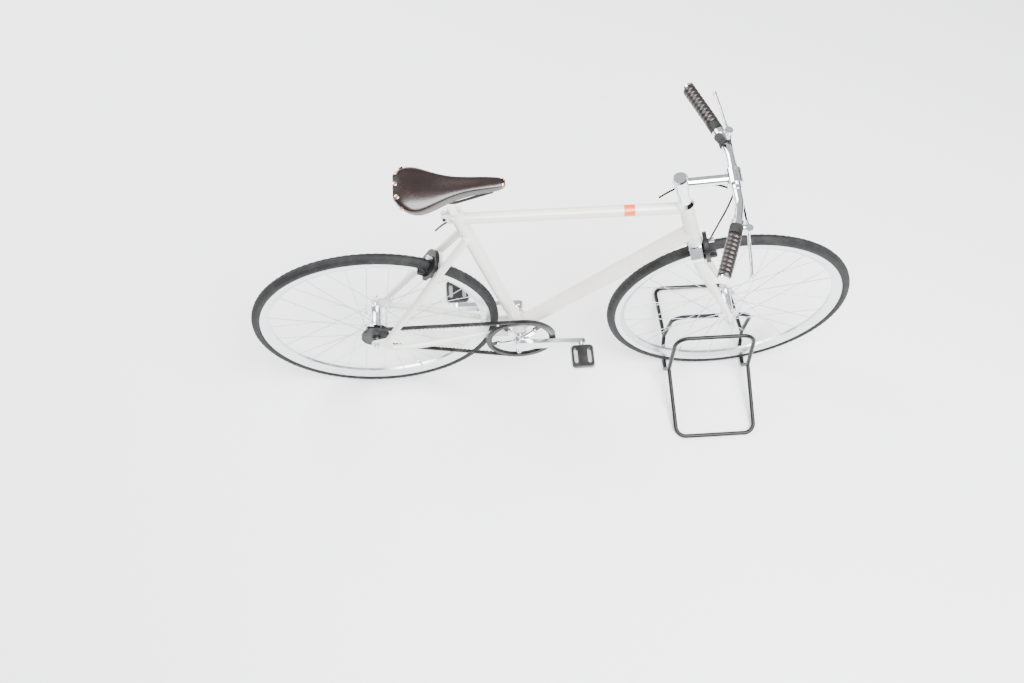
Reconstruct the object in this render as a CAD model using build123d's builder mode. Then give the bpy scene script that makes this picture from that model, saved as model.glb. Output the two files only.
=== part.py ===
from build123d import *
from math import acos, atan2, cos, degrees, floor, pi, radians, sin, sqrt, tan
import os

os.makedirs("parts", exist_ok=True)

# City bike with a belt drive, its front wheel held in a tubular wheel stand.
# Millimetres and degrees. +X is forward, +Y is the rider's left, +Z is up.
# The origin is on the floor, midway between the two axles, in the plane of the wheels.

# ---- wheels ----
wheelbase = 983.0
bead_seat_radius = 311.0
tyre_width = 28.0
rim_width = 22.0
rim_flange_height = 5.0
rim_depth = 27.0
rim_inner_width = 8.0
spokes_per_flange = 16
spoke_diameter = 2.0
spoke_crossings = 3
front_flange_diameter = 56.0
rear_flange_diameter = 64.0
flange_thickness = 2.5
flange_edge_slope = 1.35
hub_end_length = 6.0
hub_barrel_diameter = 30.0
hub_end_diameter = 20.0
front_flange_offset = 35.0
rear_left_flange_offset = 36.0
rear_right_flange_offset = 26.0
front_dropout_spacing = 100.0
rear_dropout_spacing = 130.0
front_axle_diameter = 9.0
rear_axle_diameter = 9.5
axle_nut_width = 15.0
axle_nut_height = 8.0
axle_stub_length = 6.0

# ---- steering and fork ----
head_angle = 74.0
fork_rake = 50.0
fork_length = 358.0
crown_height = 26.0
crown_width = 92.0
crown_depth = 32.0
crown_tyre_gap = 8.5
steerer_diameter = 28.6
blade_top_width = 23.0
blade_top_depth = 30.0
blade_tip_width = 13.0
dropout_thickness = 5.0
head_tube_length = 175.0
head_tube_diameter = 38.0
head_tube_bore = 32.0
lower_cup_height = 6.0
lower_cup_diameter = 43.0
upper_cup_height = 12.0
spacer_height = 51.0
spacer_diameter = 32.0
stem_clamp_height = 40.0
stem_clamp_diameter = 37.0
stem_reach = 124.0
stem_lift = 11.0
stem_bar_diameter = 24.0

# ---- frame ----
bracket_setback = 398.5
bracket_drop = 57.0
bracket_shell_width = 68.0
bracket_shell_diameter = 40.0
seat_angle = 73.6
seat_tube_length = 592.0
seat_tube_diameter = 34.0
top_tube_height = 823.0
top_tube_diameter = 28.6
down_tube_diameter = 42.0
down_tube_head_distance = 413.0
down_tube_bracket_lift = 6.0
stay_tip_setback = 32.0
seatpost_diameter = 27.2
seat_collar_diameter = 40.0
seat_collar_height = 14.0

# ---- belt drive ----
belt_pitch = 11.0
ring_teeth = 55
sprocket_teeth = 22
belt_line = 46.0
belt_width = 10.0
belt_band_thickness = 3.6
belt_tooth_depth = 3.0
crank_length = 170.0
crank_angle = -2.0
crank_inner_face = 57.0
crank_thickness = 13.0
bolt_circle_diameter = 130.0
pedal_length = 66.0
pedal_width = 74.0
pedal_gap = 5.0

# ---- clearances ----
running_clearance = 0.05
resting_gap = 0.3
tyre_clearance = 5.0

# ---- shared places ----
wheel_radius = bead_seat_radius + tyre_width
tyre_section_radius = tyre_width / 2
rim_radius = bead_seat_radius + rim_flange_height
rim_inner_radius = rim_radius - rim_depth
front_hub = Vector(wheelbase / 2, 0, wheel_radius)
rear_hub = Vector(-wheelbase / 2, 0, wheel_radius)
steer_up = Vector(-cos(radians(head_angle)), 0, sin(radians(head_angle)))
steer_forward = Vector(sin(radians(head_angle)), 0, cos(radians(head_angle)))
steer_foot = front_hub - steer_forward * fork_rake
bracket = rear_hub + Vector(bracket_setback, 0, -bracket_drop)
seat_up = Vector(-cos(radians(seat_angle)), 0, sin(radians(seat_angle)))
axle_axis = Vector(0, 1, 0)


def steering_point(forward, side, along):
    """A place given from the steering axis: ahead of it, to the left of it, and up along it."""
    return steer_foot + steer_forward * forward + Vector(0, side, 0) + steer_up * along


def drive_side_plane(origin):
    """A plane that faces right, with its x forward and its y up."""
    return Plane(origin=origin, x_dir=(1, 0, 0), z_dir=(0, -1, 0))


def axle_profile_plane(hub):
    """A plane through a hub's axis: its x runs to the left along the axle and its y runs outward."""
    return Plane(origin=hub, x_dir=(0, 1, 0), z_dir=(1, 0, 0))


def draw_rod(start, end, radius, mode=Mode.ADD):
    """A round bar between two points, drawn into the part in hand."""
    run = end - start
    with BuildSketch(Plane(origin=start, z_dir=run)) as section:
        Circle(radius)
    extrude(section.sketch, amount=run.length, mode=mode)


def draw_tube(points, radii, radius):
    """A round bar bent along straight runs joined by arcs, drawn into the part in hand."""
    with BuildLine() as route:
        FilletPolyline(*points, radius=radii)
    with BuildSketch(route.line ^ 0) as section:
        Circle(radius)
    sweep(section.sketch, path=route.line)


def draw_ovals(places, directions, half_sizes):
    """A tapered tube through upright ovals, each given by its half width across and half height."""
    ovals = []
    for place, direction, (half_across, half_height) in zip(places, directions, half_sizes):
        across = axle_axis - direction * axle_axis.dot(direction)
        with BuildSketch(Plane(origin=place, x_dir=across, z_dir=direction)) as oval:
            Ellipse(half_across, half_height)
        ovals.append(oval.sketch)
    loft(ovals)


def save(piece, name):
    """Name a finished piece and write it."""
    piece.part.label = name
    export_step(piece.part, f"parts/{name}.step")
    print(f"{name}: {len(piece.part.solids())} solids, {piece.part.volume:.0f} mm3")


# ==== wheels ====
def make_wheel(prefix, hub, flange_radius, left_offset, right_offset, axle_radius):
    """A tyre, rim, hub and set of crossed spokes."""
    anchor_radius = flange_radius - 4.5
    with BuildPart() as tyre:
        with BuildSketch(axle_profile_plane(hub)):
            with Locations((0, wheel_radius - tyre_section_radius)):
                Circle(tyre_section_radius)
            with Locations((0, rim_radius)):
                Rectangle(2 * tyre_width, tyre_width, align=(Align.CENTER, Align.MAX), mode=Mode.SUBTRACT)
        revolve(axis=Axis(hub, axle_axis))
    save(tyre, f"{prefix}_tyre")

    with BuildPart() as rim:
        with BuildSketch(axle_profile_plane(hub)):
            with BuildLine():
                Polyline(
                    (-rim_width / 2, rim_radius),
                    (rim_width / 2, rim_radius),
                    (rim_width / 2, rim_radius - rim_depth / 2),
                    (rim_inner_width / 2, rim_inner_radius),
                    (-rim_inner_width / 2, rim_inner_radius),
                    (-rim_width / 2, rim_radius - rim_depth / 2),
                    close=True,
                )
            make_face()
        revolve(axis=Axis(hub, axle_axis))
    save(rim, f"{prefix}_rim")

    with BuildPart() as hub_shell:
        with BuildSketch(axle_profile_plane(hub)):
            bore = axle_radius + running_clearance
            for side, offset in ((1, left_offset), (-1, right_offset)):
                with BuildLine():
                    Polyline(
                        (0, bore),
                        (0, hub_barrel_diameter / 2),
                        (side * (offset - flange_thickness / 2), hub_barrel_diameter / 2),
                        (side * (offset - flange_thickness / 2), flange_radius),
                        (side * (offset + flange_thickness / 2 - flange_edge_slope), flange_radius),
                        (side * (offset + flange_thickness / 2), anchor_radius - 2),
                        (side * (offset + flange_thickness / 2), hub_barrel_diameter / 2),
                        (side * (offset + hub_end_length), hub_end_diameter / 2),
                        (side * (offset + hub_end_length), bore),
                        close=True,
                    )
                make_face()
        revolve(axis=Axis(hub, axle_axis))
    save(hub_shell, f"{prefix}_hub")

    lean = spoke_crossings * 360 / spokes_per_flange
    seat_offset = flange_thickness / 2 + spoke_diameter / 2 + 0.15
    nipple_radius = rim_inner_radius - resting_gap
    with BuildPart() as spokes:
        for side, offset, phase in ((1, left_offset, 0.0), (-1, right_offset, 0.5)):
            for number in range(spokes_per_flange):
                hole = (number + phase) * 360 / spokes_per_flange
                pull = 1 if number % 2 == 0 else -1
                rim_angle = hole + pull * lean
                start = hub + Vector(
                    anchor_radius * cos(radians(hole)),
                    side * (offset + pull * seat_offset),
                    anchor_radius * sin(radians(hole)),
                )
                end = hub + Vector(
                    nipple_radius * cos(radians(rim_angle)),
                    side * rim_inner_width / 4,
                    nipple_radius * sin(radians(rim_angle)),
                )
                draw_rod(start, end, spoke_diameter / 2)
    save(spokes, f"{prefix}_spokes")


make_wheel(
    "front",
    front_hub,
    front_flange_diameter / 2,
    front_flange_offset,
    front_flange_offset,
    front_axle_diameter / 2,
)
make_wheel(
    "rear",
    rear_hub,
    rear_flange_diameter / 2,
    rear_left_flange_offset,
    rear_right_flange_offset,
    rear_axle_diameter / 2,
)


def draw_axle(hub, radius, spacing, plate, first_face_left, first_face_right):
    """An axle with its inner locknuts, outer nuts and threaded ends."""
    end = spacing / 2 + plate + axle_nut_height + axle_stub_length
    draw_rod(hub - axle_axis * end, hub + axle_axis * end, radius)
    for side, inner in ((1, first_face_left), (-1, first_face_right)):
        outward = axle_axis * side
        nut_start = hub + outward * (spacing / 2 + plate)
        with BuildSketch(Plane(origin=nut_start, x_dir=(1, 0, 0), z_dir=outward)) as hexagon:
            RegularPolygon(axle_nut_width / 2, 6, major_radius=False)
        extrude(hexagon.sketch, amount=axle_nut_height)
        locknut_start = hub + outward * (inner + resting_gap)
        draw_rod(locknut_start, hub + outward * (spacing / 2), axle_nut_width / 2)


with BuildPart() as front_axle:
    draw_axle(
        front_hub,
        front_axle_diameter / 2,
        front_dropout_spacing,
        dropout_thickness,
        front_flange_offset + hub_end_length,
        front_flange_offset + hub_end_length,
    )
save(front_axle, "front_axle")

sprocket_hub_width = 8.0
with BuildPart() as rear_axle:
    draw_axle(
        rear_hub,
        rear_axle_diameter / 2,
        rear_dropout_spacing,
        dropout_thickness,
        rear_left_flange_offset + hub_end_length,
        belt_line + sprocket_hub_width,
    )
save(rear_axle, "rear_axle")

# ==== fork ====
crown_bottom = fork_length - crown_height
crown_arch = wheel_radius + crown_tyre_gap
blade_inner = crown_width / 2 - blade_top_width
with BuildPart() as fork_crown:
    with BuildSketch(Plane(origin=steer_foot, x_dir=(0, 1, 0), z_dir=steer_forward)):
        with BuildLine():
            Polyline(
                (-blade_inner, crown_bottom),
                (-crown_width / 2, crown_bottom),
                (-crown_width / 2, crown_bottom + crown_height / 2),
                (-lower_cup_diameter / 2, fork_length),
                (lower_cup_diameter / 2, fork_length),
                (crown_width / 2, crown_bottom + crown_height / 2),
                (crown_width / 2, crown_bottom),
                (blade_inner, crown_bottom),
            )
            ThreePointArc(
                (blade_inner, crown_bottom), (0, sqrt(crown_arch**2 - fork_rake**2)), (-blade_inner, crown_bottom)
            )
        make_face()
    extrude(amount=crown_depth / 2, both=True)
    draw_rod(
        steering_point(0, 0, fork_length),
        steering_point(
            0,
            0,
            fork_length
            + lower_cup_height
            + head_tube_length
            + upper_cup_height
            + spacer_height
            + resting_gap
            + stem_clamp_height,
        ),
        steerer_diameter / 2,
    )
save(fork_crown, "fork_crown")

blade_top = steering_point(0, crown_width / 2 - blade_top_width / 2, crown_bottom)
dropout_mid = front_dropout_spacing / 2 + dropout_thickness / 2
blade_tip_along = 24.0
blade_stations = [
    (0.0, 0.0, blade_top_depth / 2, blade_top_width / 2),
    (0.16, 0.11, blade_top_depth / 2, blade_top_width / 2),
    (0.46, 0.42, 12.0, 9.5),
    (0.72, 0.73, 9.5, 8.0),
    (1.0, 1.04, 8.0, blade_tip_width / 2),
]
for side, side_name in ((1, "left"), (-1, "right")):
    with BuildPart() as fork_blade:
        sections = []
        for down, rake_share, half_depth, half_width in blade_stations:
            along = crown_bottom + (blade_tip_along - crown_bottom) * down
            spread = crown_width / 2 - blade_top_width / 2
            across = spread + (dropout_mid - spread) * down
            place = steering_point(fork_rake * rake_share, side * across, along)
            with BuildSketch(Plane(origin=place, x_dir=steer_forward, z_dir=steer_up)) as section:
                Ellipse(half_depth, half_width)
            sections.append(section.sketch)
        loft(sections)
        plate_face = front_hub + Vector(0, side * front_dropout_spacing / 2, 0)
        with BuildSketch(Plane(origin=plate_face, x_dir=steer_forward, z_dir=(0, side, 0))) as plate:
            Circle(12)
            with Locations((0, side * -1 * (blade_tip_along + 8))):
                Circle(7)
            make_hull()
            Circle(front_axle_diameter / 2 + running_clearance, mode=Mode.SUBTRACT)
        extrude(plate.sketch, amount=dropout_thickness)
    save(fork_blade, f"fork_blade_{side_name}")

# ==== head tube, headset, stem and bar ====
head_bottom = fork_length + lower_cup_height
head_top = head_bottom + head_tube_length
spacer_bottom = head_top + upper_cup_height + resting_gap
spacer_top = spacer_bottom + spacer_height
stem_mid = spacer_top + stem_clamp_height / 2
steerer_fit = steerer_diameter / 2 + running_clearance


def draw_steering_ring(bottom, top, bottom_radius, top_radius, bore):
    """A ring or cone round the steering axis."""
    with BuildSketch(Plane(origin=steer_foot, x_dir=(0, 1, 0), z_dir=steer_forward)) as half:
        with BuildLine():
            Polyline((bore, bottom), (bottom_radius, bottom), (top_radius, top), (bore, top), close=True)
        make_face()
    revolve(half.sketch, axis=Axis(steer_foot, steer_up))


with BuildPart() as head_tube:
    draw_steering_ring(head_bottom, head_top, head_tube_diameter / 2, head_tube_diameter / 2, head_tube_bore / 2)
save(head_tube, "head_tube")

with BuildPart() as headset_cups:
    draw_steering_ring(
        fork_length + resting_gap, head_bottom, lower_cup_diameter / 2, lower_cup_diameter / 2, steerer_fit
    )
    draw_steering_ring(head_top, spacer_bottom - resting_gap, lower_cup_diameter / 2, spacer_diameter / 2, steerer_fit)
save(headset_cups, "headset_cups")

with BuildPart() as spacer_column:
    draw_steering_ring(spacer_bottom, spacer_top, spacer_diameter / 2, spacer_diameter / 2, steerer_fit)
save(spacer_column, "spacer_column")

bar_diameter = 22.2
bar_centre_diameter = 25.4
bar_centre = steering_point(0, 0, stem_mid) + Vector(stem_reach, 0, stem_lift)
stem_bar_clamp_width = 42.0
stem_bar_clamp_diameter = 38.0
stem_cap_height = 4.0
faceplate_gap = 1.5
with BuildPart() as stem:
    draw_steering_ring(spacer_top, spacer_top + stem_clamp_height, stem_clamp_diameter / 2, stem_clamp_diameter / 2, 0.0)
    draw_rod(steering_point(0, 0, stem_mid), bar_centre, stem_bar_diameter / 2)
    draw_rod(
        bar_centre - axle_axis * stem_bar_clamp_width / 2,
        bar_centre + axle_axis * stem_bar_clamp_width / 2,
        stem_bar_clamp_diameter / 2,
    )
    draw_rod(
        steering_point(0, 0, spacer_top - 1),
        steering_point(0, 0, spacer_top + stem_clamp_height + 1),
        steerer_fit,
        mode=Mode.SUBTRACT,
    )
    draw_rod(
        bar_centre - axle_axis * stem_bar_clamp_width,
        bar_centre + axle_axis * stem_bar_clamp_width,
        bar_centre_diameter / 2 + running_clearance,
        mode=Mode.SUBTRACT,
    )
    split(bisect_by=Plane(origin=bar_centre, z_dir=(1, 0, 0)), keep=Keep.BOTTOM)
    draw_steering_ring(
        spacer_top + stem_clamp_height,
        spacer_top + stem_clamp_height + stem_cap_height,
        stem_clamp_diameter / 2 - 1,
        stem_clamp_diameter / 2 - 3,
        0.0,
    )
save(stem, "stem")

with BuildPart() as stem_faceplate:
    draw_rod(
        bar_centre - axle_axis * stem_bar_clamp_width / 2,
        bar_centre + axle_axis * stem_bar_clamp_width / 2,
        stem_bar_clamp_diameter / 2,
    )
    draw_rod(
        bar_centre - axle_axis * stem_bar_clamp_width,
        bar_centre + axle_axis * stem_bar_clamp_width,
        bar_centre_diameter / 2 + running_clearance,
        mode=Mode.SUBTRACT,
    )
    split(bisect_by=Plane(origin=bar_centre + Vector(faceplate_gap, 0, 0), z_dir=(1, 0, 0)), keep=Keep.TOP)
save(stem_faceplate, "stem_faceplate")

bar_bend = Vector(0, 70, 0)
bar_sweep_start = Vector(-12, 120, 3)
bar_tip = Vector(-69, 276, 3)
bar_bend_radius = 60.0


def on_bar_side(offset, side):
    """A place on one side of the bar, from its middle."""
    return bar_centre + Vector(offset.X, side * offset.Y, offset.Z)


def bar_place(reach, side):
    """The place on the swept end of the bar that lies a given distance out from the centre plane."""
    share = (reach - bar_sweep_start.Y) / (bar_tip.Y - bar_sweep_start.Y)
    return on_bar_side(bar_sweep_start + (bar_tip - bar_sweep_start) * share, side)


bar_centre_length = 72.0
lever_clamp_from = 125.0
lever_clamp_to = 137.0
collar_to = 160.0
grip_to = 272.0
grip_diameter = 33.0
bar_end_from = grip_to
bar_end_to = bar_tip.Y + 1
bar_end_diameter = 30.0
with BuildPart() as handlebar:
    draw_tube(
        [
            on_bar_side(bar_tip, -1),
            on_bar_side(bar_sweep_start, -1),
            on_bar_side(bar_bend, -1),
            on_bar_side(bar_bend, 1),
            on_bar_side(bar_sweep_start, 1),
            on_bar_side(bar_tip, 1),
        ],
        bar_bend_radius,
        bar_diameter / 2,
    )
    draw_rod(
        bar_centre - axle_axis * bar_centre_length / 2,
        bar_centre + axle_axis * bar_centre_length / 2,
        bar_centre_diameter / 2,
    )
    for side in (-1, 1):
        draw_rod(bar_place(bar_end_from, side), bar_place(bar_end_to, side), bar_end_diameter / 2)
save(handlebar, "handlebar")

bar_fit = bar_diameter / 2 + running_clearance
with BuildPart() as grips:
    for side in (1, -1):
        draw_rod(bar_place(collar_to, side), bar_place(grip_to, side), grip_diameter / 2)
        draw_rod(bar_place(collar_to - 1, side), bar_place(grip_to + 1, side), bar_fit, mode=Mode.SUBTRACT)
save(grips, "grips")

with BuildPart() as grip_collars:
    for side in (1, -1):
        draw_rod(bar_place(lever_clamp_to + 1, side), bar_place(collar_to, side), grip_diameter / 2 - 0.5)
        draw_rod(bar_place(lever_clamp_to, side), bar_place(collar_to + 1, side), bar_fit, mode=Mode.SUBTRACT)
save(grip_collars, "grip_collars")

lever_clamp_diameter = 31.0
lever_pivot_reach = 28.0
lever_pivot_drop = 9.0
lever_blade_width = 11.0
lever_blade_thickness = 6.0
lever_barrel_diameter = 8.0
lever_barrel_length = 18.0


def lever_clamp_middle(side):
    """The middle of a brake lever's clamp on the bar."""
    return bar_place((lever_clamp_from + lever_clamp_to) / 2, side)


def lever_pivot(side):
    """The pivot of a brake lever, ahead of its clamp and a little below it."""
    outward = (bar_place(grip_to, side) - bar_place(collar_to, side)).normalized()
    ahead = Vector(outward.Y, -outward.X, 0) * side
    return lever_clamp_middle(side) + ahead * lever_pivot_reach - Vector(0, 0, lever_pivot_drop)


def lever_barrel_end(side):
    """The end of a lever's cable barrel, which points to the middle of the bar."""
    return lever_pivot(side) - axle_axis * side * (lever_barrel_length + 6)


for side, side_name in ((1, "left"), (-1, "right")):
    clamp_middle = lever_clamp_middle(side)
    pivot = lever_pivot(side)
    barrel_end = lever_barrel_end(side)
    with BuildPart() as brake_lever:
        draw_rod(bar_place(lever_clamp_from, side), bar_place(lever_clamp_to, side), lever_clamp_diameter / 2)
        draw_rod(clamp_middle, pivot, 7.0)
        draw_rod(pivot - Vector(0, 0, 9), pivot + Vector(0, 0, 9), 10.0)
        draw_rod(pivot, barrel_end, lever_barrel_diameter / 2)
        with BuildLine() as blade_line:
            FilletPolyline(
                pivot,
                pivot + Vector(-2, side * 36, -8),
                pivot + Vector(-7, side * 86, -7),
                pivot + Vector(-13, side * 122, -3),
                radius=30,
            )
        with BuildSketch(Plane(origin=pivot, x_dir=(0, 0, 1), z_dir=blade_line.line % 0)) as blade_section:
            RectangleRounded(lever_blade_width, lever_blade_thickness, lever_blade_thickness / 2 - 0.5)
        sweep(blade_section.sketch, path=blade_line.line)
        with Locations(pivot + Vector(-13, side * 122, -3)):
            Sphere(lever_blade_width / 2)
        draw_rod(
            bar_place(lever_clamp_from - 5, side), bar_place(lever_clamp_to + 5, side), bar_fit, mode=Mode.SUBTRACT
        )
    save(brake_lever, f"brake_lever_{side_name}")

bell_share = 0.55
bell_diameter = 22.0
with BuildPart() as bell:
    ring_start = on_bar_side(bar_bend + (bar_sweep_start - bar_bend) * bell_share, 1)
    bell_axis = (bar_sweep_start - bar_bend).normalized()
    draw_rod(ring_start - bell_axis * 4, ring_start + bell_axis * 4, bar_diameter / 2 + 3)
    draw_rod(ring_start + Vector(0, 0, bar_diameter / 2), ring_start + Vector(-16, 0, bar_diameter / 2 + 12), 4.0)
    draw_rod(ring_start + Vector(-12, 0, bar_diameter / 2 + 6), ring_start + Vector(-22, 0, bar_diameter / 2 + 20), bell_diameter / 2)
    draw_rod(ring_start - bell_axis * 8, ring_start + bell_axis * 8, bar_fit, mode=Mode.SUBTRACT)
save(bell, "bell")

# ==== frame tubes ====
seat_tube_top = bracket + seat_up * seat_tube_length
top_tube_rear = bracket + seat_up * ((top_tube_height - bracket.Z) / seat_up.Z)
top_tube_front = steer_foot + steer_up * ((top_tube_height - steer_foot.Z) / steer_up.Z)
down_tube_front = steering_point(0, 0, down_tube_head_distance)
down_tube_rear = bracket + Vector(0, 0, down_tube_bracket_lift)
shell_left = bracket + axle_axis * bracket_shell_width / 2
shell_right = bracket - axle_axis * bracket_shell_width / 2
seatpost_fit = seatpost_diameter / 2 + running_clearance

with BuildPart() as bracket_shell:
    draw_rod(shell_right, shell_left, bracket_shell_diameter / 2)
    draw_rod(shell_right, shell_left, bracket_shell_diameter / 2 - 4, mode=Mode.SUBTRACT)
save(bracket_shell, "bracket_shell")

with BuildPart() as seat_tube:
    draw_rod(bracket, seat_tube_top, seat_tube_diameter / 2)
    draw_rod(seat_tube_top - seat_up * 160, seat_tube_top + seat_up, seatpost_fit, mode=Mode.SUBTRACT)
    draw_rod(shell_right, shell_left, bracket_shell_diameter / 2, mode=Mode.SUBTRACT)
save(seat_tube, "seat_tube")

with BuildPart() as top_tube:
    draw_rod(top_tube_rear, top_tube_front, top_tube_diameter / 2)
    draw_rod(bracket, seat_tube_top + seat_up * 50, seat_tube_diameter / 2, mode=Mode.SUBTRACT)
    draw_rod(steer_foot, top_tube_front + steer_up * 100, head_tube_diameter / 2, mode=Mode.SUBTRACT)
save(top_tube, "top_tube")

with BuildPart() as down_tube:
    draw_rod(down_tube_rear, down_tube_front, down_tube_diameter / 2)
    draw_rod(shell_right, shell_left, bracket_shell_diameter / 2, mode=Mode.SUBTRACT)
    draw_rod(bracket, seat_tube_top, seat_tube_diameter / 2, mode=Mode.SUBTRACT)
    draw_rod(steer_foot, top_tube_front + steer_up * 100, head_tube_diameter / 2, mode=Mode.SUBTRACT)
save(down_tube, "down_tube")

dropout_half = rear_dropout_spacing / 2
stay_tip_across = dropout_half + dropout_thickness / 2
seat_stay_tip = rear_hub + Vector(stay_tip_setback, 0, 16)
chain_stay_tip = rear_hub + Vector(stay_tip_setback + 6, 0, -27)
with BuildPart() as rear_dropouts:
    for side in (1, -1):
        with BuildSketch(
            Plane(origin=rear_hub + axle_axis * side * dropout_half, x_dir=(1, 0, 0), z_dir=(0, side, 0))
        ) as plate:
            Circle(14)
            with Locations((stay_tip_setback, -side * 16)):
                Circle(8)
            with Locations((stay_tip_setback + 6, side * 27)):
                Circle(8)
            make_hull()
            Circle(rear_axle_diameter / 2 + running_clearance, mode=Mode.SUBTRACT)
        extrude(plate.sketch, amount=dropout_thickness)
save(rear_dropouts, "rear_dropouts")

seat_stay_head = bracket + seat_up * 500
seat_stay_head_across = 19.0
for side, side_name in ((1, "left"), (-1, "right")):
    with BuildPart() as seat_stay:
        top = seat_stay_head + axle_axis * side * seat_stay_head_across
        tip = seat_stay_tip + axle_axis * side * stay_tip_across
        run = (tip - top).normalized()
        draw_ovals([top, top + (tip - top) * 0.6, tip], [run, run, run], [(10, 10), (9.5, 9.5), (8, 8)])
        draw_rod(bracket, seat_tube_top, seat_tube_diameter / 2, mode=Mode.SUBTRACT)
        add(rear_dropouts.part, mode=Mode.SUBTRACT)
    save(seat_stay, f"seat_stay_{side_name}")
    with BuildPart() as chain_stay:
        stations = [
            Vector(bracket.X - 14, side * 24.5, bracket.Z - 4),
            Vector(bracket.X - 100, side * 28.0, bracket.Z + 3),
            Vector(bracket.X - 207, side * 46.0, bracket.Z + 13),
            chain_stay_tip + axle_axis * side * stay_tip_across,
        ]
        directions = [
            (stations[1] - stations[0]).normalized(),
            (stations[2] - stations[0]).normalized(),
            (stations[3] - stations[1]).normalized(),
            (stations[3] - stations[2]).normalized(),
        ]
        draw_ovals(stations, directions, [(7, 12), (7, 11), (8.5, 9.5), (7.5, 8)])
        draw_rod(shell_right, shell_left, bracket_shell_diameter / 2, mode=Mode.SUBTRACT)
        add(rear_dropouts.part, mode=Mode.SUBTRACT)
    save(chain_stay, f"chain_stay_{side_name}")

bridge_radius = wheel_radius + 15.0
stay_line = seat_stay_head - seat_stay_tip
stay_offset = seat_stay_tip - rear_hub
stay_slope = stay_line.dot(stay_line)
stay_half = stay_line.dot(stay_offset)
bridge_share = (-stay_half + sqrt(stay_half**2 - stay_slope * (stay_offset.dot(stay_offset) - bridge_radius**2))) / (
    stay_slope
)
bridge = seat_stay_tip + stay_line * bridge_share
bridge_out = (bridge - rear_hub).normalized()
bridge_back = Vector(-bridge_out.Z, 0, bridge_out.X)
bridge_across = stay_tip_across + (seat_stay_head_across - stay_tip_across) * bridge_share
with BuildPart() as stay_bridge:
    draw_rod(bridge - axle_axis * bridge_across, bridge + axle_axis * bridge_across, 6.0)
    for side in (1, -1):
        draw_rod(
            seat_stay_head + axle_axis * side * seat_stay_head_across,
            seat_stay_tip + axle_axis * side * stay_tip_across,
            10.2,
            mode=Mode.SUBTRACT,
        )
save(stay_bridge, "stay_bridge")

# ==== saddle ====
seat_clamp_point = bracket + seat_up * 666.0
rail_across = 22.0
rail_diameter = 7.0
with BuildPart() as seatpost:
    draw_rod(seat_tube_top - seat_up * 120, seat_clamp_point, seatpost_diameter / 2)
    draw_rod(
        seat_clamp_point - axle_axis * (rail_across + 8), seat_clamp_point + axle_axis * (rail_across + 8), 11.0
    )
    for side in (1, -1):
        rail_seat = seat_clamp_point + axle_axis * side * rail_across
        draw_rod(
            rail_seat - Vector(30, 0, 0), rail_seat + Vector(30, 0, 0), rail_diameter / 2 + running_clearance,
            mode=Mode.SUBTRACT,
        )
save(seatpost, "seatpost")

with BuildPart() as seat_collar:
    draw_rod(seat_tube_top - seat_up * seat_collar_height, seat_tube_top, seat_collar_diameter / 2)
    draw_rod(
        seat_tube_top - seat_up * (seat_collar_height + 1),
        seat_tube_top + seat_up,
        seat_tube_diameter / 2 + running_clearance,
        mode=Mode.SUBTRACT,
    )
save(seat_collar, "seat_collar")

saddle_width = 158.0
saddle_tail = Vector(-403, 0, 978)
leather_thickness = 5.0
saddle_stations = [
    (4.0, 0.62, 2, 44),
    (25.0, 0.93, 0, 58),
    (60.0, 1.0, 2, 62),
    (100.0, 0.78, 6, 55),
    (140.0, 0.45, 9, 42),
    (190.0, 0.28, 11, 36),
    (240.0, 0.22, 13, 33),
    (262.0, 0.12, 17, 28),
]


def draw_saddle_shell(inset, mode):
    """The domed outline of the saddle, drawn inside its surface by an inset."""
    sections = []
    for number, (back, share, drop, skirt) in enumerate(saddle_stations):
        half = saddle_width / 2 * share - inset
        end_shift = inset if number == 0 else (-inset if number == len(saddle_stations) - 1 else 0)
        top = -drop - inset
        bottom = -drop - skirt - inset * 3
        origin = saddle_tail + Vector(back + end_shift, 0, 0)
        shoulder = top - half * 0.28
        with BuildSketch(Plane(origin=origin, x_dir=(0, 1, 0), z_dir=(1, 0, 0))) as section:
            with BuildLine():
                Line((-half * 0.97, bottom), (-half, shoulder))
                ThreePointArc((-half, shoulder), (0, top), (half, shoulder))
                Line((half, shoulder), (half * 0.97, bottom))
                Line((half * 0.97, bottom), (-half * 0.97, bottom))
            make_face()
        sections.append(section.sketch)
    loft(sections, mode=mode)


with BuildPart() as saddle_leather:
    draw_saddle_shell(0.0, Mode.ADD)
    draw_saddle_shell(leather_thickness, Mode.SUBTRACT)
save(saddle_leather, "saddle_leather")

cantle_thickness = 3.0
cantle_drop = 15.0
cantle_height = 29.0
cantle_width = 76.0
cantle_face = saddle_tail + Vector(saddle_stations[0][0] + leather_thickness + running_clearance, 0, -cantle_drop)
with BuildPart() as saddle_rear_plate:
    with Locations(cantle_face):
        Box(
            cantle_thickness,
            cantle_width,
            cantle_height,
            align=(Align.MIN, Align.CENTER, Align.MAX),
        )
save(saddle_rear_plate, "saddle_rear_plate")

with BuildPart() as saddle_rails:
    for side in (1, -1):
        clamp = seat_clamp_point + axle_axis * side * rail_across
        draw_tube(
            [
                Vector(cantle_face.X + cantle_thickness, side * 34, clamp.Z + 20),
                clamp + Vector(-45, 0, 0),
                clamp + Vector(25, 0, 0),
                clamp + Vector(112, -side * 16, 14),
            ],
            20,
            rail_diameter / 2,
        )
    add(saddle_rear_plate.part, mode=Mode.SUBTRACT)
save(saddle_rails, "saddle_rails")

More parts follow.
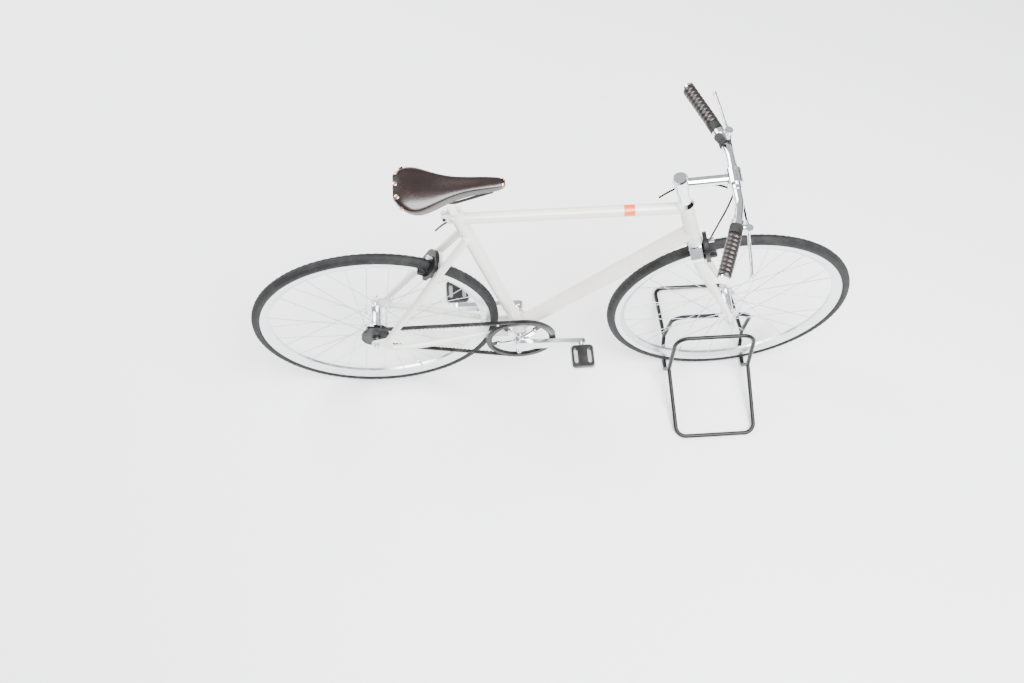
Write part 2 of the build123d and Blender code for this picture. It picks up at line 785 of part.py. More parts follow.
# ==== belt drive ====
ring_pitch_radius = ring_teeth * belt_pitch / (2 * pi)
sprocket_pitch_radius = sprocket_teeth * belt_pitch / (2 * pi)
tooth_tip_drop = 0.7
ring_tip_radius = ring_pitch_radius - tooth_tip_drop
sprocket_tip_radius = sprocket_pitch_radius - tooth_tip_drop
belt_inner_face = belt_line - belt_width / 2
span_run = Vector(bracket.X - rear_hub.X, bracket.Z - rear_hub.Z)
tangent_turn = acos((sprocket_tip_radius - ring_tip_radius) / span_run.length)
span_heading = atan2(span_run.Y, span_run.X)
belt_plane = drive_side_plane(Vector(0, -belt_inner_face, 0))

with BuildPart() as belt:
    with BuildSketch(belt_plane):
        with Locations((bracket.X, bracket.Z)):
            Circle(ring_tip_radius + resting_gap + belt_band_thickness)
        with Locations((rear_hub.X, rear_hub.Z)):
            Circle(sprocket_tip_radius + resting_gap + belt_band_thickness)
        make_hull()
        with BuildSketch(belt_plane, mode=Mode.SUBTRACT):
            with Locations((bracket.X, bracket.Z)):
                Circle(ring_tip_radius + resting_gap)
            with Locations((rear_hub.X, rear_hub.Z)):
                Circle(sprocket_tip_radius + resting_gap)
            make_hull()
    extrude(amount=belt_width)
    for turn in (tangent_turn, -tangent_turn):
        outward = Vector(cos(span_heading + turn), sin(span_heading + turn))
        start = Vector(rear_hub.X, rear_hub.Z) + outward * (sprocket_tip_radius + resting_gap)
        end = Vector(bracket.X, bracket.Z) + outward * (ring_tip_radius + resting_gap)
        along = (end - start).normalized()
        clear_start = sqrt(2 * sprocket_tip_radius * belt_tooth_depth) + belt_pitch / 2
        clear_end = sqrt(2 * ring_tip_radius * belt_tooth_depth) + belt_pitch / 2
        count = floor(((end - start).length - clear_start - clear_end) / belt_pitch)
        with BuildSketch(belt_plane) as teeth:
            for number in range(count + 1):
                spot = start + along * (clear_start + number * belt_pitch)
                with Locations(Location((spot.X, spot.Y, 0), (0, 0, degrees(atan2(along.Y, along.X))))):
                    Rectangle(
                        belt_pitch * 0.5,
                        2 * belt_tooth_depth,
                    )
        extrude(teeth.sketch, amount=belt_width)
save(belt, "belt")

# ==== crankset ====
cup_depth = 10.0
cup_flange = 3.0
spindle_diameter = 17.0
with BuildPart() as bracket_cups:
    for side in (1, -1):
        face = bracket + axle_axis * side * bracket_shell_width / 2
        draw_rod(face - axle_axis * side * cup_depth, face, bracket_shell_diameter / 2 - 4 - running_clearance)
        draw_rod(face, face + axle_axis * side * cup_flange, bracket_shell_diameter / 2 - 1)
    draw_rod(shell_right * 2 - bracket, shell_left * 2 - bracket, spindle_diameter / 2 + running_clearance, mode=Mode.SUBTRACT)
save(bracket_cups, "bracket_cups")

crank_outer_face = crank_inner_face + crank_thickness
with BuildPart() as bracket_spindle:
    draw_rod(
        bracket - axle_axis * crank_inner_face, bracket + axle_axis * crank_inner_face, spindle_diameter / 2
    )
save(bracket_spindle, "bracket_spindle")

ring_web_thickness = 4.0
ring_rim_depth = 10.0
tooth_notch_radius = 2.0
spider_arms = 5
spider_turn = crank_angle - 18.0
bolt_circle_radius = bolt_circle_diameter / 2
spider_thickness = 5.0
ring_face = belt_line + ring_web_thickness / 2
with BuildPart() as belt_ring:
    with BuildSketch(drive_side_plane(bracket - axle_axis * belt_inner_face)):
        Circle(ring_tip_radius)
        Circle(ring_tip_radius - ring_rim_depth, mode=Mode.SUBTRACT)
        with PolarLocations(ring_tip_radius, ring_teeth):
            Circle(tooth_notch_radius, mode=Mode.SUBTRACT)
    extrude(amount=belt_width)
    with BuildSketch(drive_side_plane(bracket - axle_axis * (belt_line - ring_web_thickness / 2))) as web:
        Circle(ring_tip_radius - ring_rim_depth + 1)
        Circle(ring_tip_radius - ring_rim_depth - 5, mode=Mode.SUBTRACT)
        for number in range(spider_arms):
            turn = spider_turn + number * 360 / spider_arms
            with PolarLocations(bolt_circle_radius, 1, start_angle=turn):
                Circle(8)
                Rectangle(22, 14, align=(Align.MIN, Align.CENTER))
    extrude(web.sketch, amount=ring_web_thickness)
save(belt_ring, "belt_ring")

with BuildPart() as rear_sprocket:
    with BuildSketch(drive_side_plane(rear_hub - axle_axis * belt_inner_face)):
        Circle(sprocket_tip_radius)
        with PolarLocations(sprocket_tip_radius, sprocket_teeth):
            Circle(tooth_notch_radius, mode=Mode.SUBTRACT)
    extrude(amount=belt_width)
    draw_rod(
        rear_hub - axle_axis * (rear_right_flange_offset + 7),
        rear_hub - axle_axis * (belt_line + sprocket_hub_width),
        12.0,
    )
    draw_rod(
        rear_hub - axle_axis * (rear_right_flange_offset),
        rear_hub - axle_axis * (belt_line + 2 * sprocket_hub_width),
        rear_axle_diameter / 2 + running_clearance,
        mode=Mode.SUBTRACT,
    )
save(rear_sprocket, "rear_sprocket")

crank_boss_diameter = 34.0
crank_eye_diameter = 26.0
pedal_spindle_diameter = 9.0
crank_eye_place = Vector(cos(radians(crank_angle)), 0, sin(radians(crank_angle))) * crank_length
pedal_inner_face = crank_outer_face + pedal_gap


def draw_crank_arm(side):
    """The arm from the bracket's boss to the pedal's eye, outside the crank's inner face."""
    plane = drive_side_plane(bracket + axle_axis * side * crank_inner_face)
    eye = (-side * crank_length * cos(radians(crank_angle)), -side * crank_length * sin(radians(crank_angle)))
    with BuildSketch(plane) as arm:
        Circle(crank_boss_diameter / 2)
        with Locations(eye):
            Circle(crank_eye_diameter / 2)
        make_hull()
        with Locations(eye):
            Circle(pedal_spindle_diameter / 2 + running_clearance, mode=Mode.SUBTRACT)
    extrude(arm.sketch, amount=-side * crank_thickness)


with BuildPart() as right_crank:
    draw_crank_arm(-1)
    draw_rod(bracket - axle_axis * (ring_face), bracket - axle_axis * crank_inner_face, 20.0)
    with BuildSketch(drive_side_plane(bracket - axle_axis * ring_face)) as spider:
        for number in range(spider_arms):
            turn = spider_turn + number * 360 / spider_arms
            with PolarLocations(0, 1, start_angle=turn):
                Rectangle(bolt_circle_radius, 13, align=(Align.MIN, Align.CENTER))
            with PolarLocations(bolt_circle_radius, 1, start_angle=turn):
                Circle(6.5)
    extrude(spider.sketch, amount=spider_thickness)
    draw_rod(
        bracket, bracket - axle_axis * crank_inner_face, spindle_diameter / 2 + running_clearance, mode=Mode.SUBTRACT
    )
save(right_crank, "right_crank")

with BuildPart() as left_crank:
    draw_crank_arm(1)
    draw_rod(
        bracket + axle_axis * (crank_inner_face - 10),
        bracket + axle_axis * crank_inner_face,
        crank_boss_diameter / 2 - 2,
    )
    draw_rod(
        bracket, bracket + axle_axis * crank_inner_face, spindle_diameter / 2 + running_clearance, mode=Mode.SUBTRACT
    )
save(left_crank, "left_crank")

pedal_body_height = 12.0
pedal_pad_thickness = 6.0
with BuildPart() as pedal_spindles:
    for side in (1, -1):
        eye = bracket - crank_eye_place * side
        draw_rod(
            eye + axle_axis * side * crank_inner_face,
            eye + axle_axis * side * (pedal_inner_face + pedal_width - 8),
            pedal_spindle_diameter / 2,
        )
        draw_rod(
            eye + axle_axis * side * crank_outer_face,
            eye + axle_axis * side * (pedal_inner_face - 1),
            pedal_spindle_diameter / 2 + 3,
        )
save(pedal_spindles, "pedal_spindles")

for side, side_name in ((1, "left"), (-1, "right")):
    eye = bracket - crank_eye_place * side
    middle = eye + axle_axis * side * (pedal_inner_face + pedal_width / 2)
    with BuildPart() as pedal_body:
        with BuildSketch(Plane(origin=middle - Vector(0, 0, pedal_body_height / 2), z_dir=(0, 0, 1))) as outline:
            RectangleRounded(pedal_length, pedal_width, 12)
        extrude(outline.sketch, amount=pedal_body_height)
        draw_rod(
            eye + axle_axis * side * (pedal_inner_face - 1),
            eye + axle_axis * side * (pedal_inner_face + pedal_width - 8),
            pedal_spindle_diameter / 2 + running_clearance,
            mode=Mode.SUBTRACT,
        )
    save(pedal_body, f"pedal_body_{side_name}")
    with BuildPart() as pedal_pads:
        for face in (1, -1):
            seat = middle + Vector(0, 0, face * pedal_body_height / 2)
            with BuildSketch(Plane(origin=seat, x_dir=(1, 0, 0), z_dir=(0, 0, face))) as pad:
                RectangleRounded(pedal_length - 6, pedal_width - 8, 10)
                with Locations((-19, 0), (19, 0)):
                    SlotOverall(46, 11, rotation=90, mode=Mode.SUBTRACT)
            extrude(pad.sketch, amount=pedal_pad_thickness)
    save(pedal_pads, f"pedal_pads_{side_name}")

# ==== brakes ====
rim_track_radius = rim_radius - 10.0
pad_gap = 2.0
pad_thickness = 9.0
caliper_depth = 11.0
caliper_standoff = 6.0


def draw_caliper(mount, away, up, reach, tyre_top):
    """A pair of brake arms arching over the tyre, with the bolt that holds them."""
    plane = Plane(origin=mount + away * caliper_standoff, x_dir=up.cross(away), z_dir=away)
    foot = -reach - 8
    inner = rim_width / 2 + pad_gap + pad_thickness
    outer = inner + 10
    with BuildSketch(plane) as arch:
        with BuildLine():
            Line((outer, foot), (outer + 4, tyre_top - 8))
            ThreePointArc((outer + 4, tyre_top - 8), (0, 16), (-outer - 4, tyre_top - 8))
            Line((-outer - 4, tyre_top - 8), (-outer, foot))
            Line((-outer, foot), (-inner, foot))
            Line((-inner, foot), (-inner, tyre_top - 8))
            ThreePointArc((-inner, tyre_top - 8), (0, tyre_top + 6), (inner, tyre_top - 8))
            Line((inner, tyre_top - 8), (inner, foot))
            Line((inner, foot), (outer, foot))
        make_face()
    extrude(arch.sketch, amount=caliper_depth)
    draw_rod(mount, mount + away * (caliper_standoff + caliper_depth + 5), 6.0)


def draw_pads(mount, away, up, reach):
    """The two brake shoes, one at each side of the rim."""
    across = up.cross(away)
    for side in (1, -1):
        middle = mount - up * reach + away * (caliper_standoff + caliper_depth / 2)
        inner_face = middle + across * side * (rim_width / 2 + pad_gap)
        with BuildSketch(Plane(origin=inner_face, x_dir=away, z_dir=across * side)) as shoe:
            SlotOverall(48, 11)
        extrude(shoe.sketch, amount=pad_thickness)


front_brake_along = fork_length - crown_height / 2 + 5
front_brake_mount = steering_point(crown_depth / 2, 0, front_brake_along)
front_brake_out = (front_brake_mount - front_hub).length
with BuildPart() as front_brake_arms:
    draw_caliper(
        front_brake_mount,
        steer_forward,
        steer_up,
        front_brake_out - rim_track_radius,
        wheel_radius - front_brake_out,
    )
save(front_brake_arms, "front_brake_arms")
with BuildPart() as front_brake_shoes:
    draw_pads(front_brake_mount, steer_forward, steer_up, front_brake_out - rim_track_radius)
save(front_brake_shoes, "front_brake_shoes")

rear_brake_mount = bridge + bridge_back * 6.0
rear_brake_out = (rear_brake_mount - rear_hub).length
with BuildPart() as rear_brake_arms:
    draw_caliper(
        rear_brake_mount, bridge_back, bridge_out, rear_brake_out - rim_track_radius, wheel_radius - rear_brake_out
    )
    draw_rod(
        bridge - axle_axis * bridge_across, bridge + axle_axis * bridge_across, 6.0, mode=Mode.SUBTRACT
    )
save(rear_brake_arms, "rear_brake_arms")
with BuildPart() as rear_brake_shoes:
    draw_pads(rear_brake_mount, bridge_back, bridge_out, rear_brake_out - rim_track_radius)
save(rear_brake_shoes, "rear_brake_shoes")

# ==== brake cables ====
housing_diameter = 5.0


def draw_housing(name, points, neighbours=()):
    """A cable housing through chosen places, with arcs as large as its runs allow."""
    radii = []
    for before, here, after in zip(points, points[1:], points[2:]):
        first = here - before
        second = after - here
        turn = radians(first.get_angle(second))
        radii.append(0.45 * min(first.length, second.length) / tan(turn / 2))
    print(f"{name} arc radii:", [round(radius) for radius in radii])
    with BuildPart() as housing:
        with BuildLine() as route:
            FilletPolyline(*points, radius=radii)
        with BuildSketch(Plane(origin=route.line @ 0, z_dir=route.line % 0)) as section:
            Circle(housing_diameter / 2)
        sweep(section.sketch, path=route.line)
        for neighbour in neighbours:
            add(neighbour.part, mode=Mode.SUBTRACT)
    save(housing, name)


left_lever_exit = lever_barrel_end(1)
right_lever_exit = lever_barrel_end(-1)
draw_housing(
    "front_brake_cable",
    [
        left_lever_exit,
        left_lever_exit + Vector(0, -34, 0),
        left_lever_exit + Vector(10, -72, -24),
        left_lever_exit + Vector(8, -102, -66),
        left_lever_exit + Vector(-6, -120, -122),
        left_lever_exit + Vector(-20, -127, -180),
        left_lever_exit + Vector(-28, -129, -236),
    ],
)
draw_housing(
    "steering_brake_cable",
    [
        right_lever_exit,
        right_lever_exit + Vector(0, 34, 0),
        right_lever_exit + Vector(4, 76, -14),
        right_lever_exit + Vector(-8, 110, -28),
        right_lever_exit + Vector(-44, 134, -38),
        right_lever_exit + Vector(-92, 146, -48),
        right_lever_exit + Vector(-138, 148, -66),
        right_lever_exit + Vector(-172, 140, -92),
    ],
)
rear_housing_start = bracket + seat_up * 560 + Vector(-seat_tube_diameter / 2 - 1, 0, 0)
draw_housing(
    "rear_brake_cable",
    [
        rear_housing_start,
        rear_housing_start + Vector(-12, 2, -12),
        rear_housing_start + Vector(-28, 6, -34),
        rear_housing_start + Vector(-40, 12, -60),
    ],
    [seat_tube],
)

# ==== wheel stand ====
stand_tube_diameter = 12.0
stand_middle = 480.0
stand_floor_length = 240.0
stand_floor_reach = 256.0
stand_corner_radius = 30.0
stand_node_across = 57.0
stand_node_height = 60.0
stand_hoop_across = 36.0
stand_hoop_height = 208.0
stand_hoop_corner_radius = 38.0
stand_radius = stand_tube_diameter / 2
stand_low_across = 30.0
stand_low_corner_radius = 14.0
stand_splay = 4.0


def stand_place(end, inset, across, height):
    """A place on the stand, at its front or rear end."""
    return Vector(stand_middle + end * (stand_floor_length / 2 - inset), across, height)


for side, side_name in ((1, "left"), (-1, "right")):
    node_across = side * stand_node_across
    rear_node = stand_place(-1, 0, node_across, stand_node_height)
    front_node = stand_place(1, 0, node_across, stand_node_height)
    with BuildPart() as stand_side:
        draw_tube(
            [
                rear_node,
                stand_place(-1, stand_splay, side * stand_floor_reach, stand_radius),
                stand_place(1, stand_splay, side * stand_floor_reach, stand_radius),
                front_node,
            ],
            stand_corner_radius,
            stand_radius,
        )
        draw_tube(
            [
                rear_node,
                stand_place(-1, stand_splay, side * stand_hoop_across, stand_hoop_height),
                stand_place(1, stand_splay, side * stand_hoop_across, stand_hoop_height),
                front_node,
            ],
            stand_hoop_corner_radius,
            stand_radius,
        )
        for end, node in ((-1, rear_node), (1, front_node)):
            draw_tube(
                [
                    node,
                    stand_place(end, 0, side * stand_low_across, stand_radius),
                    stand_place(end, 0, 0, stand_radius),
                ],
                stand_low_corner_radius,
                stand_radius,
            )
        with Locations(rear_node, front_node):
            Sphere(stand_radius)
    save(stand_side, f"stand_{side_name}")
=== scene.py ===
# %% [markdown]
# # A city bike in its wheel stand
# The bike is measured and cut in a CAD program first. This lesson dresses that model: it gives every
# tube, wheel and bolt its finish, and makes the leather, the rubber and the small hardware that a
# plain solid can't show. Everything is in metres, with X forward, Y to the rider's left and Z up.

from math import atan2, cos, pi, radians, sin, sqrt

import bmesh
import bpy
from mathutils import Matrix, Vector


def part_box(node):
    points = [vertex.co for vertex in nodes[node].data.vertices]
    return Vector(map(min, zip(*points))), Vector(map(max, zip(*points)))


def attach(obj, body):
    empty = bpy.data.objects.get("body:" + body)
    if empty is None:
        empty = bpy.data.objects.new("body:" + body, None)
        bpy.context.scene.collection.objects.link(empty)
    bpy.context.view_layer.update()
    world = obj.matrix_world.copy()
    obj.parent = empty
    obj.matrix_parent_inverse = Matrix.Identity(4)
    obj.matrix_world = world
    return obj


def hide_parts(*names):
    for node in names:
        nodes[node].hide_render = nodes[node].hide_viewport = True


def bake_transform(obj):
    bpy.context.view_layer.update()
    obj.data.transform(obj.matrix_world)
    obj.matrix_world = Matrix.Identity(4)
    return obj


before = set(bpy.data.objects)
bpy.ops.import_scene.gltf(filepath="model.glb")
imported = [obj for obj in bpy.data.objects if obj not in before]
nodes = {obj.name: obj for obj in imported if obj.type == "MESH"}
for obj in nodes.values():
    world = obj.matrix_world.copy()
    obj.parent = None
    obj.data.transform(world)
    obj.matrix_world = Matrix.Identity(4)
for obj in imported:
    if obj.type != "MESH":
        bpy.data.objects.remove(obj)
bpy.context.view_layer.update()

# %% [markdown]
# ## Camera
# The bike is seen from high up on its drive side, which shows the belt, the stand and the top of the
# saddle at once. A camera can be aimed with a tracking constraint or with angles. Here three plain
# rotations are multiplied: a small turn about the vertical, the tilt down, and a slight roll.

# %% Camera
camera_place = Vector((-0.26877, -1.50897, 3.02263))
camera_turn = -0.103597
camera_tilt_down = 1.080327
camera_roll = 0.037662
lens_mm = 38.83

camera_data = bpy.data.cameras.new("studio_camera")
camera_data.lens = lens_mm
camera_data.sensor_width = 36
camera_data.clip_start = 0.05
camera = bpy.data.objects.new("studio_camera", camera_data)
bpy.context.scene.collection.objects.link(camera)
camera.matrix_world = (
    Matrix.Translation(camera_place)
    @ Matrix.Rotation(camera_turn, 4, "Z")
    @ Matrix.Rotation(pi / 2 - camera_tilt_down, 4, "X")
    @ Matrix.Rotation(camera_roll, 4, "Z")
)
bpy.context.scene.camera = camera
print("camera looks along", camera.matrix_world.to_3x3() @ Vector((0, 0, -1)))

# %% [markdown]
# ## A short way to write materials
# A material is a graph of nodes, and wiring each one by hand hides the idea. One small class wraps a
# socket, so that sums and products of masks can be written as Python. Any other node comes from
# one method, which takes the node's type, its settings, and the values of its sockets.

# %% Sockets as numbers
class Wire:
    """One socket in a material's graph, which can be added, multiplied and so on."""

    def __init__(self, graph, socket):
        self.graph = graph
        self.socket = socket

    def sum_with(self, operation, left, right):
        return self.graph.node("ShaderNodeMath", {"operation": operation}, [left, right])

    def __add__(self, other):
        return self.sum_with("ADD", self, other)

    __radd__ = __add__

    def __mul__(self, other):
        return self.sum_with("MULTIPLY", self, other)

    __rmul__ = __mul__


class Graph:
    """The node graph of one material."""

    def __init__(self, name):
        self.material = bpy.data.materials.new(name)
        self.material.use_nodes = True
        self.tree = self.material.node_tree
        self.shader = self.tree.nodes["Principled BSDF"]

    def connect(self, socket, value):
        if isinstance(value, Wire):
            self.tree.links.new(value.socket, socket)
        else:
            socket.default_value = value

    def node(self, kind, settings=None, inputs=None, output=0):
        """Adds a node, sets its settings, feeds its sockets, and gives back one output."""
        made = self.tree.nodes.new(kind)
        for setting, value in (settings or {}).items():
            if setting == "stops":
                self.set_stops(made.color_ramp, value)
            else:
                setattr(made, setting, value)
        pairs = inputs.items() if isinstance(inputs, dict) else enumerate(inputs or [])
        for socket, value in pairs:
            self.connect(made.inputs[socket], value)
        return Wire(self, made.outputs[output])

    def set_stops(self, ramp, stops):
        while len(ramp.elements) > len(stops):
            ramp.elements.remove(ramp.elements[-1])
        while len(ramp.elements) < len(stops):
            ramp.elements.new(1.0)
        for element, (place, shade) in zip(ramp.elements, stops):
            element.position = place
            element.color = shade

    def place(self, output="Object"):
        return self.node("ShaderNodeTexCoord", output=output)

    def noise(self, scale, detail=3.0, roughness=0.5, vector=None):
        inputs = {
            "Vector": vector or self.place(),
            "Scale": scale,
            "Detail": detail,
            "Roughness": roughness,
        }
        return self.node("ShaderNodeTexNoise", inputs=inputs)

    def ramp(self, value, stops, output=0):
        return self.node("ShaderNodeValToRGB", {"stops": stops}, {"Fac": value}, output)

    def mix_colours(self, share, first, second):
        settings = {"data_type": "RGBA"}
        made = self.node("ShaderNodeMix", settings, {0: share, 6: first, 7: second}, 2)
        return made

    def share_between(self, value, low, high):
        """How far a value has gone from low to high, held between 0 and 1."""
        inputs = {"Value": value, "From Min": low, "From Max": high}
        return self.node("ShaderNodeMapRange", {"clamp": True}, inputs)

    def bump(self, height, distance, strength=1.0, under=None):
        inputs = {"Height": height, "Distance": distance, "Strength": strength}
        if under is not None:
            inputs["Normal"] = under
        return self.node("ShaderNodeBump", inputs=inputs)

    def surface(self, **sockets):
        """Feeds the shader's own sockets, named with underscores for spaces."""
        for name, value in sockets.items():
            self.connect(self.shader.inputs[name.replace("_", " ")], value)
        return self.material


def grey(value):
    """An opaque grey."""
    return (value, value, value, 1.0)

# %% [markdown]
# ## White paint
# The frame and the fork blades are sprayed a warm white under a clear lacquer. A flat white would look
# like plaster. The lacquer is a coat over the paint, a very fine ripple bends its reflection as
# sprayed lacquer does, and dust and handling make the gloss a little uneven.

# %% White paint
def make_white_paint():
    graph = Graph("white_lacquered_paint")
    cloud = graph.noise(9.0, 4.0)
    tint = graph.ramp(cloud, [(0.35, (0.67, 0.65, 0.615, 1)), (0.65, (0.72, 0.70, 0.67, 1))])
    handling = 0.24 + 0.16 * graph.share_between(graph.noise(38.0, 5.0, 0.6), 0.3, 0.7)
    ripple = graph.bump(graph.noise(1400.0, 1.0), 0.00006, 0.25)
    return graph.surface(
        Base_Color=tint, Roughness=handling, Normal=ripple, Coat_Weight=0.6, Coat_Roughness=0.08
    )


white_paint = make_white_paint()
print("made", white_paint.name)

# %% [markdown]
# ## Bare and plated metal
# A bike has many bright metals, and they differ. The bar, stem and levers are polished until they
# mirror the room. The rims are brushed round and round by their brake blocks. The cranks and hubs are
# polished too, but the polishing wheel leaves fine lines, and grease dulls them.

# %% Bright metals
def make_polished_metal(name, colour, low, high, line_scale=(900.0, 900.0, 900.0)):
    """A polished metal: its gloss varies, and fine lines from polishing break the reflection."""
    graph = Graph(name)
    smears = graph.noise(60.0, 5.0, 0.65)
    gloss = low + (high - low) * graph.share_between(smears, 0.3, 0.7)
    stretched = graph.node("ShaderNodeMapping", inputs={"Vector": graph.place(), "Scale": line_scale})
    lines = graph.noise(1.0, 2.0, 0.5, stretched)
    dulled = 0.35 * graph.share_between(smears, 0.45, 0.8)
    shade = graph.mix_colours(dulled, colour, grey(0.42))
    bump = graph.bump(lines, 0.00002, 0.2)
    return graph.surface(Base_Color=shade, Metallic=1.0, Roughness=gloss, Normal=bump)


chrome = make_polished_metal("mirror_chrome", (0.83, 0.84, 0.87, 1), 0.04, 0.10)
alloy = make_polished_metal("polished_alloy", (0.78, 0.79, 0.81, 1), 0.14, 0.28, (300, 1500, 300))
satin_alloy = make_polished_metal("satin_alloy", (0.70, 0.71, 0.73, 1), 0.26, 0.42)
steel = make_polished_metal("zinc_plated_steel", (0.62, 0.63, 0.66, 1), 0.20, 0.38)
print("made four bright metals")


# %% Brushed rims
def make_rim_metal(name, hub):
    """Rim alloy, with fine rings turned round the hub by the brake blocks."""
    graph = Graph(name)
    centred = graph.node(
        "ShaderNodeMapping", inputs={"Vector": graph.place(), "Location": (-hub.x, -hub.y, -hub.z)}
    )
    across = graph.node("ShaderNodeVectorMath", {"operation": "MULTIPLY"}, [centred, (1, 0, 1)])
    radius = graph.node("ShaderNodeVectorMath", {"operation": "LENGTH"}, [across], 1)
    rings = graph.node("ShaderNodeTexNoise", {"noise_dimensions": "1D"}, {"W": radius, "Scale": 2600.0})
    worn = graph.noise(25.0, 4.0)
    gloss = 0.24 + 0.12 * graph.share_between(worn, 0.3, 0.7)
    shade = graph.ramp(rings, [(0.3, (0.66, 0.67, 0.69, 1)), (0.7, (0.80, 0.81, 0.83, 1))])
    bump = graph.bump(rings, 0.00003, 0.35)
    return graph.surface(Base_Color=shade, Metallic=1.0, Roughness=gloss, Normal=bump)


def middle(name):
    """The middle of a solid's box."""
    low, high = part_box(name)
    return (low + high) / 2


front_centre = middle("front_rim")
rear_centre = middle("rear_rim")
front_rim_metal = make_rim_metal("front_rim_alloy", front_centre)
rear_rim_metal = make_rim_metal("rear_rim_alloy", rear_centre)
print("rims turn about", front_centre, "and", rear_centre)

# %% [markdown]
# ## Rubber, plastic and powder paint
# Tyres, belt, pedal faces and cable housings are all nearly black, so their grain tells them apart.
# Tyre rubber is dull and a little dusty, the belt and cable housings are smooth plastic with
# a soft gloss, and the stand's powder paint is finely pebbled.

# %% Dark finishes
def make_dark(name, colour, low, high, grain, depth, dust=0.0):
    """A dark material with a grain of a given scale and depth, and some pale dust."""
    graph = Graph(name)
    wear = graph.noise(30.0, 5.0, 0.6)
    dusty = dust * graph.share_between(wear, 0.45, 0.8)
    shade = graph.mix_colours(dusty, colour, (0.20, 0.19, 0.175, 1))
    gloss = low + (high - low) * graph.share_between(wear, 0.3, 0.7)
    bump = graph.bump(graph.noise(grain, 2.0), depth, 0.4)
    return graph.surface(Base_Color=shade, Roughness=gloss, Normal=bump, Specular_IOR_Level=0.3)


tyre_rubber = make_dark("tyre_rubber", (0.008, 0.008, 0.009, 1), 0.62, 0.80, 1800.0, 0.0001, 0.12)
black_rubber = make_dark("black_rubber", (0.006, 0.006, 0.0065, 1), 0.45, 0.65, 2200.0, 0.00008, 0.15)
belt_plastic = make_dark("belt_polyurethane", (0.005, 0.005, 0.0055, 1), 0.34, 0.5, 2600.0, 0.00005, 0.2)
housing_plastic = make_dark("cable_housing", (0.004, 0.004, 0.0045, 1), 0.22, 0.34, 3000.0, 0.00003)
powder_paint = make_dark(
    "black_powder_paint", (0.004, 0.004, 0.0045, 1), 0.30, 0.42, 1500.0, 0.00012, 0.05
)
print("made five dark finishes")


# %% [markdown]
# ## Leather
# The saddle is one thick hide, dyed very dark brown and polished by use. The hide's
# grain is a net of tiny cells, so a Voronoi pattern is the base of its bump, with larger creases from
# noise. The dye is thinner where the hide is stretched, so the brown changes slowly.

# %% Leather
def make_leather(name, dark, light, grain, gloss_low, gloss_high):
    graph = Graph(name)
    slow = graph.noise(14.0, 4.0, 0.6)
    shade = graph.mix_colours(graph.share_between(slow, 0.35, 0.7), dark, light)
    cells = graph.node(
        "ShaderNodeTexVoronoi", {"feature": "DISTANCE_TO_EDGE"}, {"Vector": graph.place(), "Scale": grain}
    )
    pores = graph.share_between(cells, 0.0, 0.12)
    creases = graph.noise(grain * 0.12, 4.0, 0.6)
    gloss = gloss_low + (gloss_high - gloss_low) * graph.share_between(graph.noise(22.0, 5.0), 0.3, 0.7)
    fine = graph.bump(pores, 0.00012, 0.30)
    bump = graph.bump(creases, 0.0006, 0.35, fine)
    return graph.surface(
        Base_Color=shade, Roughness=gloss, Normal=bump, Coat_Weight=0.25, Coat_Roughness=0.22
    )


saddle_hide = make_leather(
    "dark_brown_hide", (0.004, 0.0014, 0.0010, 1), (0.011, 0.0035, 0.0024, 1), 700.0, 0.20, 0.32
)
grip_hide = make_leather(
    "grip_leather", (0.005, 0.0022, 0.0022, 1), (0.012, 0.005, 0.0045, 1), 800.0, 0.32, 0.46
)
cut_edge = make_leather(
    "cut_leather_edge", (0.26, 0.11, 0.045, 1), (0.36, 0.17, 0.075, 1), 900.0, 0.5, 0.7
)
copper = make_polished_metal("copper_rivet", (0.72, 0.42, 0.28, 1), 0.18, 0.32)
print("made three leathers and the rivets' copper")

# %% [markdown]
# ## Which solid gets which finish
# Each measured solid whose shape is already right keeps its shape, and only its material slots
# change. A table from finish to solids is the plainest way to write that.

# %% Finish the solids
finishes = {
    white_paint: [
        "head_tube", "top_tube", "down_tube", "seat_tube", "bracket_shell", "seat_stay_left",
        "seat_stay_right", "chain_stay_left", "chain_stay_right", "rear_dropouts", "stay_bridge",
        "fork_blade_left", "fork_blade_right", "seat_collar",
    ],
    chrome: ["fork_crown", "stem", "stem_faceplate", "handlebar", "headset_cups", "spacer_column"],
    alloy: [
        "front_hub", "rear_hub", "left_crank", "right_crank", "seatpost", "brake_lever_left",
        "brake_lever_right", "pedal_body_left", "pedal_body_right", "saddle_rear_plate",
    ],
    satin_alloy: ["bracket_cups"],
    steel: ["front_axle", "rear_axle", "bracket_spindle", "pedal_spindles", "front_spokes", "rear_spokes"],
    front_rim_metal: ["front_rim"],
    rear_rim_metal: ["rear_rim"],
    tyre_rubber: ["front_tyre", "rear_tyre"],
    black_rubber: [
        "grip_collars", "front_brake_shoes", "rear_brake_shoes", "pedal_pads_left",
        "pedal_pads_right", "bell",
    ],
    belt_plastic: ["belt", "belt_ring", "rear_sprocket"],
    housing_plastic: ["front_brake_cable", "steering_brake_cable", "rear_brake_cable"],
    powder_paint: [
        "stand_left", "stand_right", "saddle_rails", "front_brake_arms", "rear_brake_arms",
    ],
    saddle_hide: ["saddle_leather"],
    grip_hide: ["grips"],
}
for finish, names in finishes.items():
    for name in names:
        mesh = nodes[name].data
        mesh.materials.clear()
        mesh.materials.append(finish)
print(sum(len(names) for names in finishes.values()), "solids finished")

# %% [markdown]
# ## Turned parts
# Rivets, bolts, grips and tyres are all round about an axis. Each could be built from cylinders, but a
# lathe's way is shorter: a profile is drawn once, and the spin operator carries it round the axis.

# %% A lathe
merge_distance = 0.000002
sharp_turn = radians(38)


def spot(x, y, z):
    """A place given in millimetres."""
    return Vector((x, y, z)) / 1000


